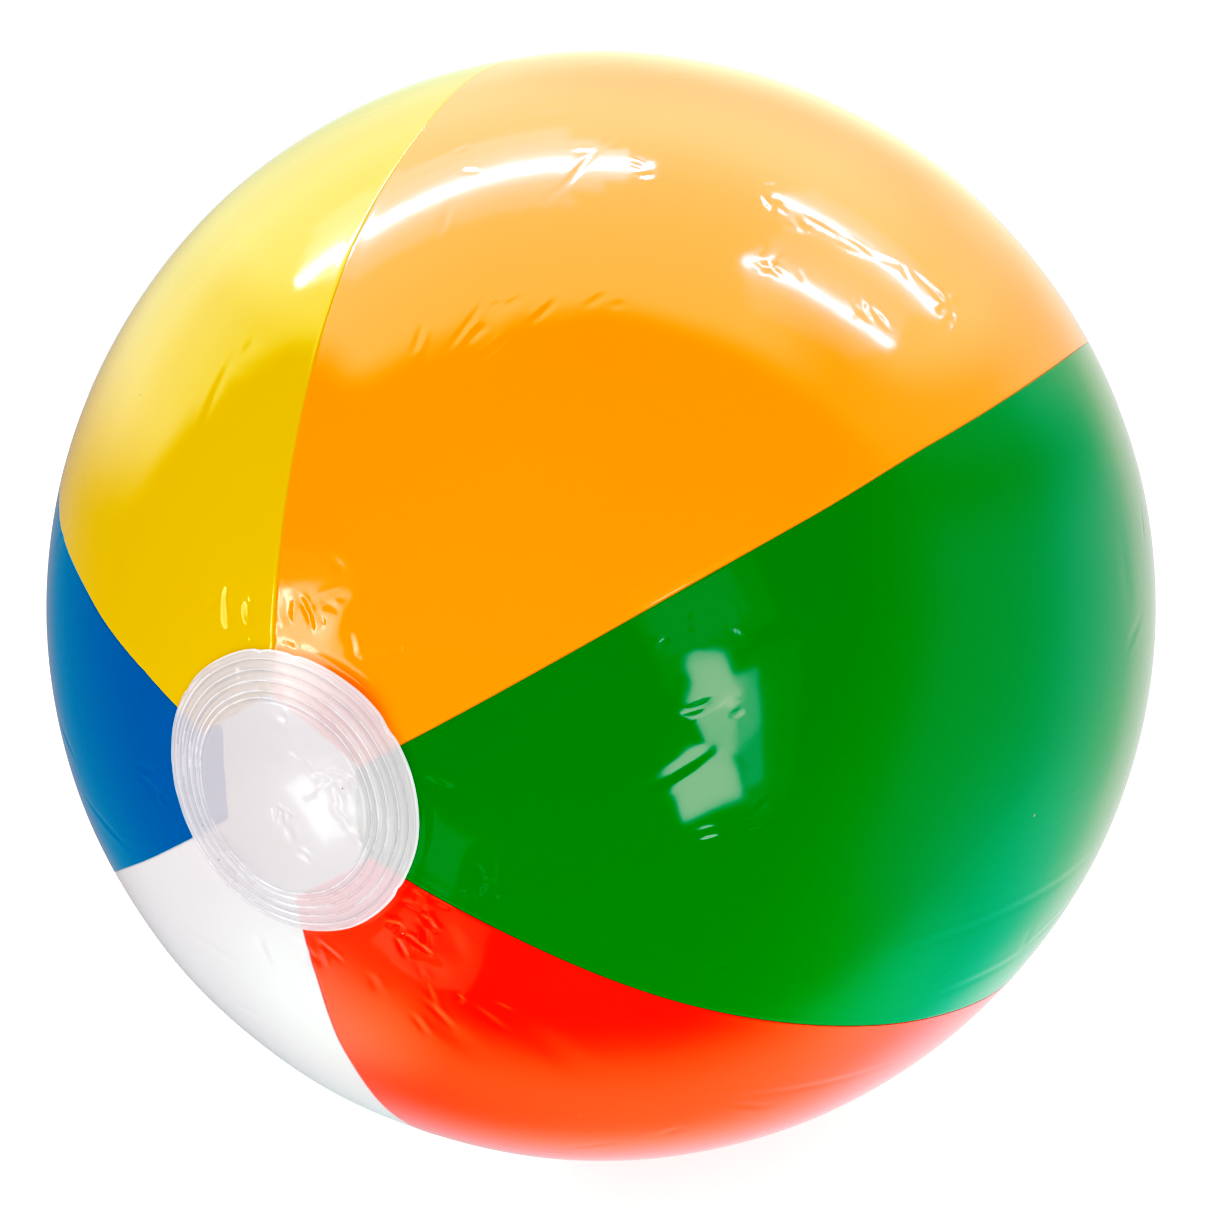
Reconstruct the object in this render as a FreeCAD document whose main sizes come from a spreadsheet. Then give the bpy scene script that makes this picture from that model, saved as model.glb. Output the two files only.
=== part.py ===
import FreeCAD, Part
import os
import re
import Sketcher
from FreeCAD import Placement, Rotation, Vector

# Inflatable beach ball, blown up and lying on its side.
# The origin is the centre of the ball. The axis through its two end discs is Y:
# the plain disc is at -Y and the disc with the valve is at +Y. +Z is up.
# Angles round that axis are measured from +X towards +Z.
# Every size is in millimetres and every angle in degrees.

SIZES = [
    ("ball_radius", 195, "outside of the gores, blown up"),
    ("film", 0.25, "thickness of the PVC film"),
    ("gore_span", 60, "angle that each gore takes round the axis"),
    ("first_seam", 31, "angle of the seam where the orange gore starts"),
    ("lap_width", 5, "width of the lap welded under the next gore"),
    ("lap_land", 0.5, "how far the lap reaches back under its own gore"),
    ("gore_end_radius", 16, "open circle that the gore ends leave at each pole"),
    ("rest_depth", 0.9, "how far the bottom is pressed flat by the ball's weight"),
    ("disc_radius", 34.6, "end discs"),
    ("valve_hole_radius", 7.5, "hole in the end disc at the valve"),
    ("flange_radius", 14, "welded ring of the valve, outside"),
    ("flange_bore_radius", 7.4, "welded ring of the valve, inside"),
    ("flange_thickness", 0.8, "welded ring of the valve"),
    ("skirt_thickness", 0.5, "cone between flange and stem"),
    ("skirt_drop", 7, "from the film down to where the cone meets the stem"),
    ("skirt_band", 1, "where the cone holds the stem, along the stem"),
    ("skirt_fit", 0.05, "between the cone and the stem"),
    ("stem_radius", 5, "outside of the valve's tube"),
    ("stem_length", 15.5, "from the mouth to the inner end"),
    ("mouth_rise", 1.1, "mouth above the film when the valve is pushed in"),
    ("lip_radius", 6.2, "lip round the mouth"),
    ("lip_height", 1.4, "lip round the mouth"),
    ("seat_radius", 3.9, "wider end of the tube that holds the plug"),
    ("seat_depth", 6.2, "wider end of the tube that holds the plug"),
    ("bore_radius", 3.2, "rest of the tube, which holds a pump's nozzle"),
    ("plug_fit", 0.06, "gap all round the top of the plug's nose"),
    ("seal_gap", 0.05, "between the plug's head and the mouth"),
    ("nose_length", 5.6, "plug's nose, below the mouth"),
    ("nose_tip_radius", 2.5, "plug's nose at its tip"),
    ("head_thickness", 1.6, "plug's head"),
    ("hinge_reach", 12.4, "from the ball's axis to the tether's hinge"),
    ("hinge_rise", 0.4, "hinge above the mouth"),
    ("knuckle_radius", 0.8, "tether's hinge"),
    ("strap_width", 5, "tether"),
    ("strap_thickness", 0.8, "tether and the plug's arm"),
    ("arm_width", 2.4, "plug's arm, between the two prongs of the tether"),
    ("arm_gap", 0.3, "between the arm and each prong"),
    ("flap_radius", 4.3, "check flap"),
    ("flap_thickness", 0.5, "check flap"),
    ("flap_gap", 0.1, "between the check flap and the end of the tube"),
    ("flap_tab_width", 3, "check flap's tab"),
    # Sizes that follow from the ones above.
    ("film_level", "=ball_radius + film", "outer face of the discs at the pole"),
    ("mouth_level", "=film_level + mouth_rise", "mouth of the valve"),
    ("stem_end", "=mouth_level - stem_length", "inner end of the valve"),
    ("hinge_level", "=mouth_level + hinge_rise", "tether's hinge"),
]

GORES = ["green", "orange", "yellow", "blue", "white", "red"]

document = FreeCAD.newDocument("beach_ball")
sheet = document.addObject("Spreadsheet::Sheet", "sizes")
for row, (alias, value, note) in enumerate(SIZES, start=1):
    sheet.set(f"A{row}", alias)
    sheet.set(f"B{row}", str(value))
    sheet.set(f"C{row}", note)
    sheet.setAlias(f"B{row}", alias)
document.recompute()
ALIASES = {size[0] for size in SIZES}


def expression(text):
    """The text with every alias written as a reference to the sheet."""

    def reference(word):
        return f"sizes.{word[0]}" if word[0] in ALIASES else word[0]

    return re.sub(r"[a-z_]+", reference, text)


def size(text):
    """The value of an expression in the sheet's aliases."""
    value = sheet.evalExpression(expression(text))
    return float(getattr(value, "Value", value))


def bind(thing, **properties):
    """Binds each property of an object to an expression in the sheet's aliases."""
    for name, text in properties.items():
        thing.setExpression(name.replace("__", "."), expression(text))
    return thing


def add(kind, name, **properties):
    """A Part primitive whose sizes are bound to the sheet."""
    return bind(document.addObject(kind, name), **properties)


def cut(name, base, tool):
    result = document.addObject("Part::Cut", name)
    result.Base = base
    result.Tool = tool
    return result


def common(name, *shapes):
    result = document.addObject("Part::MultiCommon", name)
    result.Shapes = list(shapes)
    return result


def fuse(name, *shapes):
    result = document.addObject("Part::MultiFuse", name)
    result.Shapes = list(shapes)
    return result


def about_axis(angle):
    """Turns local Z onto -Y and local X onto the direction at this angle round the ball."""
    return Rotation(Vector(1, 0, 0), 90) * Rotation(Vector(0, 0, 1), angle)


def ball(name, radius):
    """A solid ball whose bottom is flat where it rests on the ground."""
    sphere = add("Part::Sphere", f"{name}_sphere", Radius=radius)
    sphere.Placement = Placement(Vector(), about_axis(size("first_seam")))
    ground = add(
        "Part::Box", f"{name}_ground",
        Length="2 * ball_radius", Width="2 * ball_radius", Height="ball_radius",
        Placement__Base__x="-ball_radius", Placement__Base__y="-ball_radius",
        Placement__Base__z=f"rest_depth - ball_radius - ( {radius} )",
    )
    return cut(name, sphere, ground)


def film_layer(name, outer, inner, opening):
    """The shell between two balls, open at both poles."""
    return cut(name, cut(f"{name}_closed", outer, inner), opening)


def gore(colour, index, skin, lining):
    """One slice of the skin, with the lap that goes under the gore before it."""
    start = size("first_seam") + (index - 1) * size("gore_span")
    turn = about_axis(start)
    end = Vector(0, size("film_level"), 0)
    slice_tool = add(
        "Part::Cylinder", f"{colour}_slice",
        Radius="film_level", Height="2 * film_level", Angle="gore_span",
    )
    slice_tool.Placement = Placement(end, turn)
    lap_tool = add(
        "Part::Box", f"{colour}_lap_tool",
        Length="film_level", Width="lap_width + lap_land", Height="2 * film_level",
    )
    lap_corner = turn.multVec(Vector(0, -size("lap_width"), 0))
    lap_tool.Placement = Placement(end + lap_corner, turn)
    panel = common(f"{colour}_panel", skin, slice_tool)
    lap = common(f"{colour}_lap", lining, lap_tool)
    return fuse(f"panel_{colour}", panel, lap)


def end_disc(name, towards, hole=None):
    """A round cap of film on the outside of the gores at one pole."""
    outer = add("Part::Sphere", f"{name}_outer", Radius="film_level")
    inner = add("Part::Sphere", f"{name}_inner", Radius="ball_radius")
    for sphere in (outer, inner):
        sphere.Placement = Placement(Vector(), about_axis(size("first_seam")))
    punch = add("Part::Cylinder", f"{name}_punch", Radius="disc_radius", Height="film_level")
    punch.Placement = Placement(Vector(), Rotation(Vector(0, 0, 1), Vector(0, towards, 0)))
    cap = common(f"{name}_cap", cut(f"{name}_shell", outer, inner), punch)
    if hole is None:
        return cap
    drill = add("Part::Cylinder", f"{name}_drill", Radius=hole, Height="film_level")
    drill.Placement = punch.Placement
    return cut(f"{name}_drilled", cap, drill)


def turned(name, corners):
    """A body turned about the Y axis from a closed outline of (radius, level) expressions."""
    body = document.addObject("PartDesign::Body", name)
    planes = {plane.Role: plane for plane in body.Origin.OriginFeatures}
    sketch = body.newObject("Sketcher::SketchObject", f"{name}_outline")
    sketch.AttachmentSupport = [(planes["XY_Plane"], "")]
    sketch.MapMode = "FlatFace"
    points = [Vector(size(x), size(y), 0) for x, y in corners]
    count = len(points)
    for index, point in enumerate(points):
        sketch.addGeometry(Part.LineSegment(point, points[(index + 1) % count]), False)
    for index, (x, y) in enumerate(corners):
        before = (index - 1) % count
        sketch.addConstraint(Sketcher.Constraint("Coincident", before, 2, index, 1))
        if x == "0":
            sketch.addConstraint(Sketcher.Constraint("PointOnObject", index, 1, -2))
        else:
            number = sketch.addConstraint(
                Sketcher.Constraint("DistanceX", -1, 1, index, 1, points[index].x)
            )
            sketch.setExpression(f"Constraints[{number}]", expression(x))
        number = sketch.addConstraint(
            Sketcher.Constraint("DistanceY", -1, 1, index, 1, points[index].y)
        )
        sketch.setExpression(f"Constraints[{number}]", expression(y))
    turning = body.newObject("PartDesign::Revolution", f"{name}_turned")
    turning.Profile = sketch
    turning.ReferenceAxis = (sketch, ["V_Axis"])
    turning.Angle = 360
    document.recompute()
    return body


def slab(name, **properties):
    """A box set by its lowest corner, all of it bound to the sheet."""
    return add("Part::Box", name, **properties)


def knuckle(name, width, start, reach, level, radius):
    """A round bar along Z."""
    return add(
        "Part::Cylinder", name, Radius=radius, Height=width,
        Placement__Base__x=reach, Placement__Base__y=level, Placement__Base__z=start,
    )


def valve_flange():
    """A flat ring that lies just inside the end disc and is welded to it."""
    rim = "sqrt( ball_radius ^ 2 - flange_radius ^ 2 )"
    eye = "sqrt( ball_radius ^ 2 - flange_bore_radius ^ 2 )"
    return turned("valve_flange_ring", [
        ("flange_bore_radius", f"{eye} - flange_thickness"),
        ("flange_radius", f"{rim} - flange_thickness"),
        ("flange_radius", rim),
        ("flange_bore_radius", eye),
    ])


def valve_skirt():
    """A thin collar inside the flange, and a cone from it down to a band round the tube."""
    eye = "sqrt( ball_radius ^ 2 - flange_bore_radius ^ 2 )"
    foot = "ball_radius - skirt_drop"
    return turned("valve_skirt_cone", [
        ("stem_radius + skirt_fit", f"{foot} - skirt_band"),
        ("stem_radius + skirt_fit + skirt_thickness", f"{foot} - skirt_band"),
        ("flange_bore_radius", f"{eye} - flange_thickness"),
        ("flange_bore_radius", eye),
        ("flange_bore_radius - skirt_thickness", eye),
        ("flange_bore_radius - skirt_thickness", f"{eye} - flange_thickness"),
        ("stem_radius + skirt_fit", foot),
    ])


def valve_stem():
    """The tube, with a lip at its mouth, a wide seat for the plug and a bore below it."""
    return turned("valve_stem_tube", [
        ("bore_radius", "stem_end"),
        ("stem_radius", "stem_end"),
        ("stem_radius", "mouth_level - lip_height"),
        ("lip_radius", "mouth_level - lip_height"),
        ("lip_radius", "mouth_level"),
        ("seat_radius", "mouth_level"),
        ("seat_radius", "mouth_level - seat_depth"),
        ("bore_radius", "mouth_level - seat_depth"),
    ])


def plug():
    """Head, tapered nose, and an arm that ends in the middle knuckle of the hinge."""
    stopper = turned("plug_stopper", [
        ("0", "mouth_level - nose_length"),
        ("nose_tip_radius", "mouth_level - nose_length"),
        ("seat_radius - plug_fit", "mouth_level"),
        ("seat_radius - plug_fit", "mouth_level + seal_gap"),
        ("lip_radius", "mouth_level + seal_gap"),
        ("lip_radius", "mouth_level + seal_gap + head_thickness"),
        ("0", "mouth_level + seal_gap + head_thickness"),
    ])
    arm = slab(
        "plug_arm",
        Length="hinge_reach - seat_radius", Width="strap_thickness", Height="arm_width",
        Placement__Base__x="seat_radius",
        Placement__Base__y="mouth_level + seal_gap + head_thickness - strap_thickness",
        Placement__Base__z="-arm_width / 2",
    )
    middle = knuckle(
        "plug_knuckle", "arm_width", "-arm_width / 2",
        "hinge_reach", "hinge_level", "knuckle_radius",
    )
    return fuse("plug_whole", stopper, arm, middle)


def plug_tether():
    """A strap from the lip that ends in two prongs with the outer knuckles of the hinge."""
    level = "mouth_level - strap_thickness"
    fork = "hinge_reach - 2 * knuckle_radius"
    strap = slab(
        "tether_strap",
        Length=f"{fork} - stem_radius", Width="strap_thickness", Height="strap_width",
        Placement__Base__x="stem_radius", Placement__Base__y=level,
        Placement__Base__z="-strap_width / 2",
    )
    lip = add("Part::Cylinder", "tether_lip", Radius="lip_radius", Height="ball_radius")
    lip.Placement = Placement(Vector(0, 1.5 * size("ball_radius"), 0), about_axis(0))
    parts = [cut("tether_root", strap, lip)]
    prong_width = "( strap_width / 2 - arm_width / 2 - arm_gap )"
    for side, start in (
        ("low", "-strap_width / 2"),
        ("high", "arm_width / 2 + arm_gap"),
    ):
        parts.append(slab(
            f"tether_prong_{side}",
            Length="2 * knuckle_radius", Width="strap_thickness", Height=prong_width,
            Placement__Base__x=fork, Placement__Base__y=level, Placement__Base__z=start,
        ))
        parts.append(knuckle(
            f"tether_knuckle_{side}", prong_width, start,
            "hinge_reach", "hinge_level", "knuckle_radius",
        ))
    return fuse("tether_whole", *parts)


def check_flap():
    """A round flap below the tube, with a tab that ends in a thin round hinge."""
    level = "stem_end - flap_gap - flap_thickness"
    round_part = turned("flap_round", [
        ("0", level),
        ("flap_radius", level),
        ("flap_radius", f"{level} + flap_thickness"),
        ("0", f"{level} + flap_thickness"),
    ])
    tab = slab(
        "flap_tab",
        Length="stem_radius", Width="flap_thickness", Height="flap_tab_width",
        Placement__Base__x="-stem_radius", Placement__Base__y=level,
        Placement__Base__z="-flap_tab_width / 2",
    )
    pin = knuckle(
        "flap_pin", "flap_tab_width", "-flap_tab_width / 2",
        "-stem_radius", f"{level} + flap_thickness / 2", "flap_thickness / 2",
    )
    return fuse("flap_whole", round_part, tab, pin)


# The film lies in two layers: the skin, and the lining where the laps are.
outside = ball("outside", "ball_radius")
between = ball("between", "ball_radius - film")
inside = ball("inside", "ball_radius - 2 * film")
opening = add("Part::Cylinder", "opening", Radius="gore_end_radius", Height="2 * film_level")
opening.Placement = Placement(Vector(0, size("film_level"), 0), about_axis(0))
skin = film_layer("skin", outside, between, opening)
lining = film_layer("lining", between, inside, opening)

pieces = {}
for index, colour in enumerate(GORES):
    pieces[f"panel_{colour}"] = gore(colour, index, skin, lining)
pieces["end_disc_front"] = end_disc("disc_front", -1)
pieces["end_disc_valve"] = end_disc("disc_valve", 1, hole="valve_hole_radius")
pieces["valve_flange"] = valve_flange()
pieces["valve_skirt"] = valve_skirt()
pieces["valve_stem"] = valve_stem()
pieces["check_flap"] = check_flap()
pieces["plug"] = plug()
pieces["plug_tether"] = plug_tether()
for node, piece in pieces.items():
    piece.Label = node
document.recompute()

# Nothing is written unless every object and every piece is sound.
for thing in document.Objects:
    if "Invalid" in thing.State or "Error" in thing.State:
        raise RuntimeError(f"{thing.Label} failed: {thing.State}")
for node, piece in pieces.items():
    shape = piece.Shape
    if shape.isNull() or not shape.isValid() or len(shape.Solids) != 1:
        raise RuntimeError(f"{node} is not one valid solid")

os.makedirs("parts", exist_ok=True)
for node, piece in pieces.items():
    piece.Shape.exportStep(f"parts/{node}.step")
    box = piece.Shape.BoundBox
    print(
        f"{node:16s} {piece.Shape.Volume:10.1f} mm3"
        f"  x {box.XMin:8.2f} {box.XMax:8.2f}"
        f"  y {box.YMin:8.2f} {box.YMax:8.2f}"
        f"  z {box.ZMin:8.2f} {box.ZMax:8.2f}"
    )
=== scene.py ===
import math

import bpy
import numpy as np
from mathutils import Matrix, Vector


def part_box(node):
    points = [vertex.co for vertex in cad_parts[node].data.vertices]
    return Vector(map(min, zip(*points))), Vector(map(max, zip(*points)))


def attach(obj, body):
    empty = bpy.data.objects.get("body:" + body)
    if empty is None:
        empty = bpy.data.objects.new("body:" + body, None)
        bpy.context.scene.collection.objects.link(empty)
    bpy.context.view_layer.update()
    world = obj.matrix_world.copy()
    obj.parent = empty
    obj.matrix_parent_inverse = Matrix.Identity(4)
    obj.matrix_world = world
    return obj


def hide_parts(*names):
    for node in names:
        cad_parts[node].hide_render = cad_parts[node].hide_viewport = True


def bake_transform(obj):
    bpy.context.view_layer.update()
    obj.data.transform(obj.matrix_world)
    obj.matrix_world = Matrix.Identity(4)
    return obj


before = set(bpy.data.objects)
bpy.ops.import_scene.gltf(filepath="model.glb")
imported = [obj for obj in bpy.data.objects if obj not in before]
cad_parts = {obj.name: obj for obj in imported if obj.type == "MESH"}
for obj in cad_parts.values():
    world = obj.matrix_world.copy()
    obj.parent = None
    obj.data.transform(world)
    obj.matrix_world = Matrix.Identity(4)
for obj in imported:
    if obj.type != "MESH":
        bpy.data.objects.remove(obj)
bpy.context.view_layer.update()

# An inflatable beach ball lies on its side. Metres; the origin is the ball's centre.
# A place on the ball is (around, polar) in degrees: around is the angle from +X
# towards +Z, and polar is the angle from the middle of the front disc, which is at -Y.

MM = 0.001
BALL = -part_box("panel_blue")[0].x  # the ball's radius
REST_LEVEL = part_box("panel_white")[0].z
FILM = 0.25 * MM
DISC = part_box("end_disc_front")[1].x  # an end disc's radius
SEAM_SPAN = 60.0  # degrees around
FIRST_SEAM = 31.0
random = np.random.default_rng(24)  # the order of the draws below matters
draw = random.uniform


# Vectors on the ball --------------------

def direction(around, polar):
    """Unit vectors for angles in radians."""
    return np.stack(
        [np.sin(polar) * np.cos(around), -np.cos(polar), np.sin(polar) * np.sin(around)],
        axis=-1,
    )


def place(around, polar):
    """The unit vector of one place given in degrees."""
    return direction(math.radians(around), math.radians(polar))


def smooth_step(x):
    x = np.clip(x, 0, 1)
    return x * x * (3 - 2 * x)


def knots(x, points):
    """A smooth line through (position, value) points, level at each of them."""
    x = np.asarray(x, float)
    value = np.full(x.shape, float(points[0][1]))
    for (x0, y0), (x1, y1) in zip(points, points[1:]):
        value = value + (y1 - y0) * smooth_step((x - x0) / (x1 - x0))
    return value


# Relief ---------------------------------
# Each crease is (around, polar, around, polar, depth in mm, half width in mm, bow in mm).

CREASES = [
    # orange, in front of the long lamp
    (72, 37, 73, 32, 0.09, 0.6, 0.5),
    (70, 36, 68, 38, 0.07, 0.6, 0.3),
    (66, 36, 65, 39, 0.08, 0.6, -0.3),
    (71, 36, 70, 37, 0.07, 0.6, 0.0),
    (62, 39, 61, 41, 0.07, 0.6, 0.2),
    (60, 40, 59, 41, 0.06, 0.6, 0.0),
    (77, 35, 75, 34, 0.07, 0.6, 0.8),
    (78, 34, 77, 31, 0.09, 0.8, 0.6),
    (71, 33, 70, 35, 0.09, 0.8, 0.5),
    (69, 32, 67, 35, 0.08, 0.6, -0.4),
    (68, 31, 70, 30, 0.07, 0.6, 0.2),
    (72, 30, 68, 32, 0.05, 0.7, 0.8),
    (69, 28, 68, 31, 0.06, 0.6, 0.6),
    (63, 32, 61, 33, 0.05, 0.6, 0.2),
    (76, 28, 74, 27, 0.07, 0.7, 0.2),
    (82, 44, 81, 40, 0.06, 0.8, 0.4),
    (72, 49, 73, 45, 0.04, 1.0, 0.4),
    (73, 46, 72, 41, 0.03, 1.1, 0.4),
    (62, 49, 65, 41, 0.04, 1.2, -0.8),
    (60, 45, 59, 46, 0.05, 0.6, 0.0),
    # orange, across the long lamp
    (72, 47, 72, 53, 0.16, 0.7, 0.3),
    (72, 52, 72, 55, 0.12, 0.6, 0.0),
    (74, 51, 72, 52, 0.12, 0.6, 0.2),
    (69, 52, 67, 52, 0.12, 0.6, 0.2),
    (67, 51, 66, 52, 0.14, 0.6, 0.0),
    (83, 47, 81, 47, 0.14, 0.6, 0.2),
    (85, 49, 84, 50, 0.10, 0.6, 0.0),
    # orange, round the two lamps on the right
    (58, 56, 57, 58, 0.09, 0.6, 0.2),
    (57, 55, 55, 56, 0.11, 0.6, 0.3),
    (54, 56, 53, 55, 0.12, 0.6, 0.0),
    (53, 54, 52, 57, 0.09, 0.6, -0.4),
    (54, 56, 50, 57, 0.10, 0.6, 0.3),
    (50, 57, 47, 58, 0.10, 0.6, 0.2),
    (50, 56, 47, 58, 0.08, 0.6, -0.2),
    (45, 60, 44, 59, 0.12, 0.6, 0.0),
    (47, 58, 45, 60, 0.09, 0.6, 0.0),
    (45, 60, 40, 61, 0.10, 0.6, 0.2),
    (40, 61, 40, 64, 0.11, 0.7, 0.3),
    (40, 61, 38, 58, 0.09, 0.8, 0.3),
    (39, 57, 38, 55, 0.12, 0.7, 0.2),
    (54, 59, 54, 61, 0.05, 0.7, 0.3),
    (52, 49, 53, 53, 0.12, 0.7, -0.4),
    (53, 53, 52, 55, 0.04, 0.7, 0.0),
    (45, 54, 43, 53, 0.12, 0.7, 0.2),
    (44, 54, 41, 54, 0.10, 0.7, 0.4),
    (50, 52, 49, 51, 0.06, 0.6, 0.0),
    (40, 62, 38, 70, 0.04, 1.0, 0.4),
    # orange, next to the front disc
    (86, 14, 76, 12, 0.13, 0.8, 1.2),
    (84, 14, 77, 12, 0.12, 0.7, 0.6),
    (77, 14, 70, 14, 0.13, 0.7, 0.4),
    (76, 13, 73, 13, 0.12, 0.6, 0.0),
    (86, 14, 86, 12, 0.12, 0.6, 0.0),
    (84, 12, 88, 13, 0.11, 0.8, 0.5),
    (79, 17, 72, 16, 0.08, 1.2, 0.8),
    (66, 13, 60, 12, 0.14, 0.8, 0.4),
    (64, 12, 56, 12, 0.12, 0.8, 0.2),
    # yellow
    (101, 14, 100, 13, 0.12, 0.6, 0.2),
    (103, 11, 100, 11, 0.10, 0.6, 0.2),
    (112, 26, 104, 33, 0.07, 1.4, 0.8),
    (118, 40, 108, 47, 0.06, 1.6, -1.0),
    # green, round the window
    (29, 29, 26, 31, 0.09, 0.8, 0.4),
    (29, 31, 24, 30, 0.08, 0.7, -0.5),
    (27, 29, 23, 31, 0.07, 0.8, 0.8),
    (25, 28, 26, 29, 0.09, 0.6, 0.2),
    (28, 32, 24, 33, 0.10, 1.0, 0.6),
    (25, 32, 21, 34, 0.05, 0.9, -0.5),
    (14, 31, 14, 32, 0.10, 0.6, 0.2),
    (-2, 28, -1, 30, 0.12, 0.6, 0.3),
    (-2, 30, 1, 35, 0.10, 0.6, 0.5),
    (-1, 32, 0, 35, 0.07, 0.6, 0.4),
    (1, 32, 3, 33, 0.08, 0.6, 0.3),
    # green, elsewhere
    (-18, 45, -13, 73, 0.12, 1.4, 2.0),
    (-25, 51, -22, 68, 0.10, 1.5, 1.2),
    (-23, 60, -17, 80, 0.10, 1.6, 1.0),
    (31, 60, 33, 63, 0.12, 0.8, 0.2),
    (-11, 14, -16, 15, 0.22, 0.8, 0.5),
    (-16, 15, -21, 15, 0.22, 0.8, -0.3),
    (-24, 14, -21, 15, 0.20, 0.7, 0.2),
    (-20, 16, -17, 16, 0.16, 0.7, 0.2),
    # red
    (-28, 11, -35, 12, 0.34, 0.8, 0.5),
    (-35, 12, -38, 14, 0.34, 0.8, -0.3),
    (-50, 11, -44, 12, 0.34, 0.8, 0.3),
    (-44, 12, -50, 12, 0.34, 0.8, 0.4),
    (-50, 12, -54, 14, 0.30, 0.8, 0.3),
    (-47, 12, -46, 15, 0.34, 0.8, 0.2),
    (-46, 14, -39, 13, 0.34, 0.8, -0.4),
    (-39, 13, -34, 13, 0.32, 0.8, 0.3),
    (-28, 12, -28, 14, 0.18, 0.8, 0.2),
    (-51, 14, -59, 19, 0.09, 0.9, 0.6),
    (-59, 17, -59, 21, 0.09, 1.1, 0.3),
    (-65, 18, -66, 21, 0.09, 1.1, 0.2),
    (-50, 18, -51, 19, 0.14, 0.8, 0.0),
    (-46, 20, -45, 22, 0.12, 1.0, 0.2),
    (-50, 19, -50, 23, 0.09, 1.1, 0.3),
    (-46, 38, -35, 58, 0.08, 1.8, 1.5),
    # blue
    (-152, 20, -166, 31, 0.16, 1.2, 1.0),
    (-171, 28, -178, 35, 0.14, 1.2, 0.6),
]

# Each dent is (place, length in mm, width in mm, heading in degrees, depth in mm).
# The heading turns from the way away from the front disc towards a larger angle around.
DENTS = [
    ((14, 28), 15, 9, 60, -0.22),
    ((26, 32), 12, 6, 80, 0.06),
    ((24, 30), 9, 5, 10, -0.06),
    ((26, 30), 22, 10, 40, 0.08),
    ((-4, 31), 30, 12, 70, 0.08),
    ((80, 12), 12, 7, 60, 0.20),
    ((70, 13), 9, 6, 20, -0.16),
    ((-38, 15), 13, 7, 40, 0.30),
    ((-50, 15), 12, 7, -30, 0.30),
    ((-60, 21), 18, 8, 0, 0.18),
    ((-47, 26), 24, 9, 10, 0.14),
    ((-14, 15), 14, 7, 80, 0.24),
    ((64, 35), 26, 12, -20, 0.08),
    ((71, 36), 20, 9, -10, 0.07),
    ((-8, 62), 60, 18, 5, 0.16),
    ((104, 13), 12, 8, 30, 0.14),
]

# Each star is (place, number of arms, reach in mm, depth in mm).
STARS = [
    ((40, 61), 6, 7, 0.14),
    ((56, 55), 6, 5, 0.11),
    ((53, 55), 5, 4, 0.10),
    ((52, 50), 4, 5, 0.11),
    ((44, 53), 4, 5, 0.09),
]


def frame_at(middle, heading):
    """Two unit vectors across the surface at a place: along the heading, and across it."""
    pole = np.array([0.0, -1.0, 0.0])
    outward = middle * middle.dot(pole) - pole
    outward /= np.linalg.norm(outward)
    sideways = np.cross(middle, outward)
    turn = math.radians(heading)
    along = math.cos(turn) * outward - math.sin(turn) * sideways
    return along, np.cross(middle, along)


def add_crease(relief, spots, start, end, depth, width, bow):
    """A shallow groove with a shoulder on one side, fading out at both ends."""
    middle = start + end
    middle /= np.linalg.norm(middle)
    along = end - start
    half = np.linalg.norm(along) * BALL / 2
    along /= np.linalg.norm(along)
    across = np.cross(middle, along)
    reach = half + 6 * width * MM
    near = spots @ middle > math.cos(min(reach / BALL, 1.5))
    u = spots[near] @ along * BALL / half
    v = spots[near] @ across * BALL / (width * MM) - bow / width * (1 - u * u)
    fade = np.clip(1 - u * u, 0, 1) ** 1.5
    groove = -np.exp(-v * v) + 0.5 * np.exp(-((v - 1.7) ** 2))
    relief[near] += depth * MM * fade * groove


def add_dent(relief, spots, middle, length, width, heading, depth):
    """A soft oval hollow, or a swelling where the depth is negative."""
    along, across = frame_at(middle, heading)
    near = spots @ middle > math.cos(2.2 * length * MM / BALL)
    u = spots[near] @ along * BALL / (length * MM / 2)
    v = spots[near] @ across * BALL / (width * MM / 2)
    relief[near] -= depth * MM * np.exp(-(u * u + v * v))


def random_place():
    """A place anywhere between the two discs, evenly over the ball."""
    return direction(draw(0, 2 * math.pi), math.acos(draw(-0.97, 0.97)))


def star_creases(middle, arms, reach, depth):
    """Short creases that run out from one point."""
    turns = 360 * (np.arange(arms) + draw(-0.3, 0.3, arms)) / arms
    for heading, size in zip(turns, draw(0.6, 1.1, arms)):
        along, _ = frame_at(middle, heading)
        far = middle + along * reach * size * MM / BALL
        near = middle - along * 0.15 * reach * MM / BALL
        yield (
            near / np.linalg.norm(near), far / np.linalg.norm(far),
            depth * size, draw(0.6, 0.8), draw(-0.4, 0.4),
        )


def strewn_crease(middle, heading, halves, depths, widths, bow):
    """A crease through a place, with the rest of its measures drawn from ranges."""
    along, _ = frame_at(middle, heading)
    half = along * draw(*halves) * MM / BALL
    return (
        middle - half, middle + half,
        draw(*depths), draw(*widths), draw(-bow, bow),
    )


def all_creases():
    """The creases above, those of the stars, and small ones all over and by the discs."""
    for around, polar, end_around, end_polar, *depth_width_bow in CREASES:
        yield place(around, polar), place(end_around, end_polar), *depth_width_bow
    for middle, arms, reach, depth in STARS:
        yield from star_creases(place(*middle), arms, reach, depth)
    for _ in range(120):
        middle, heading = random_place(), draw(0, 360)
        yield strewn_crease(middle, heading, (3, 14), (0.03, 0.12), (0.9, 1.8), 1.5)
    for pole in (0, 180):
        for _ in range(26):
            around = draw(0, 360)
            polar = abs(pole - draw(11.5, 15))
            middle, heading = place(around, polar), random.normal(0, 35)
            yield strewn_crease(middle, heading, (2, 6), (0.08, 0.22), (0.8, 1.5), 1)


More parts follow.
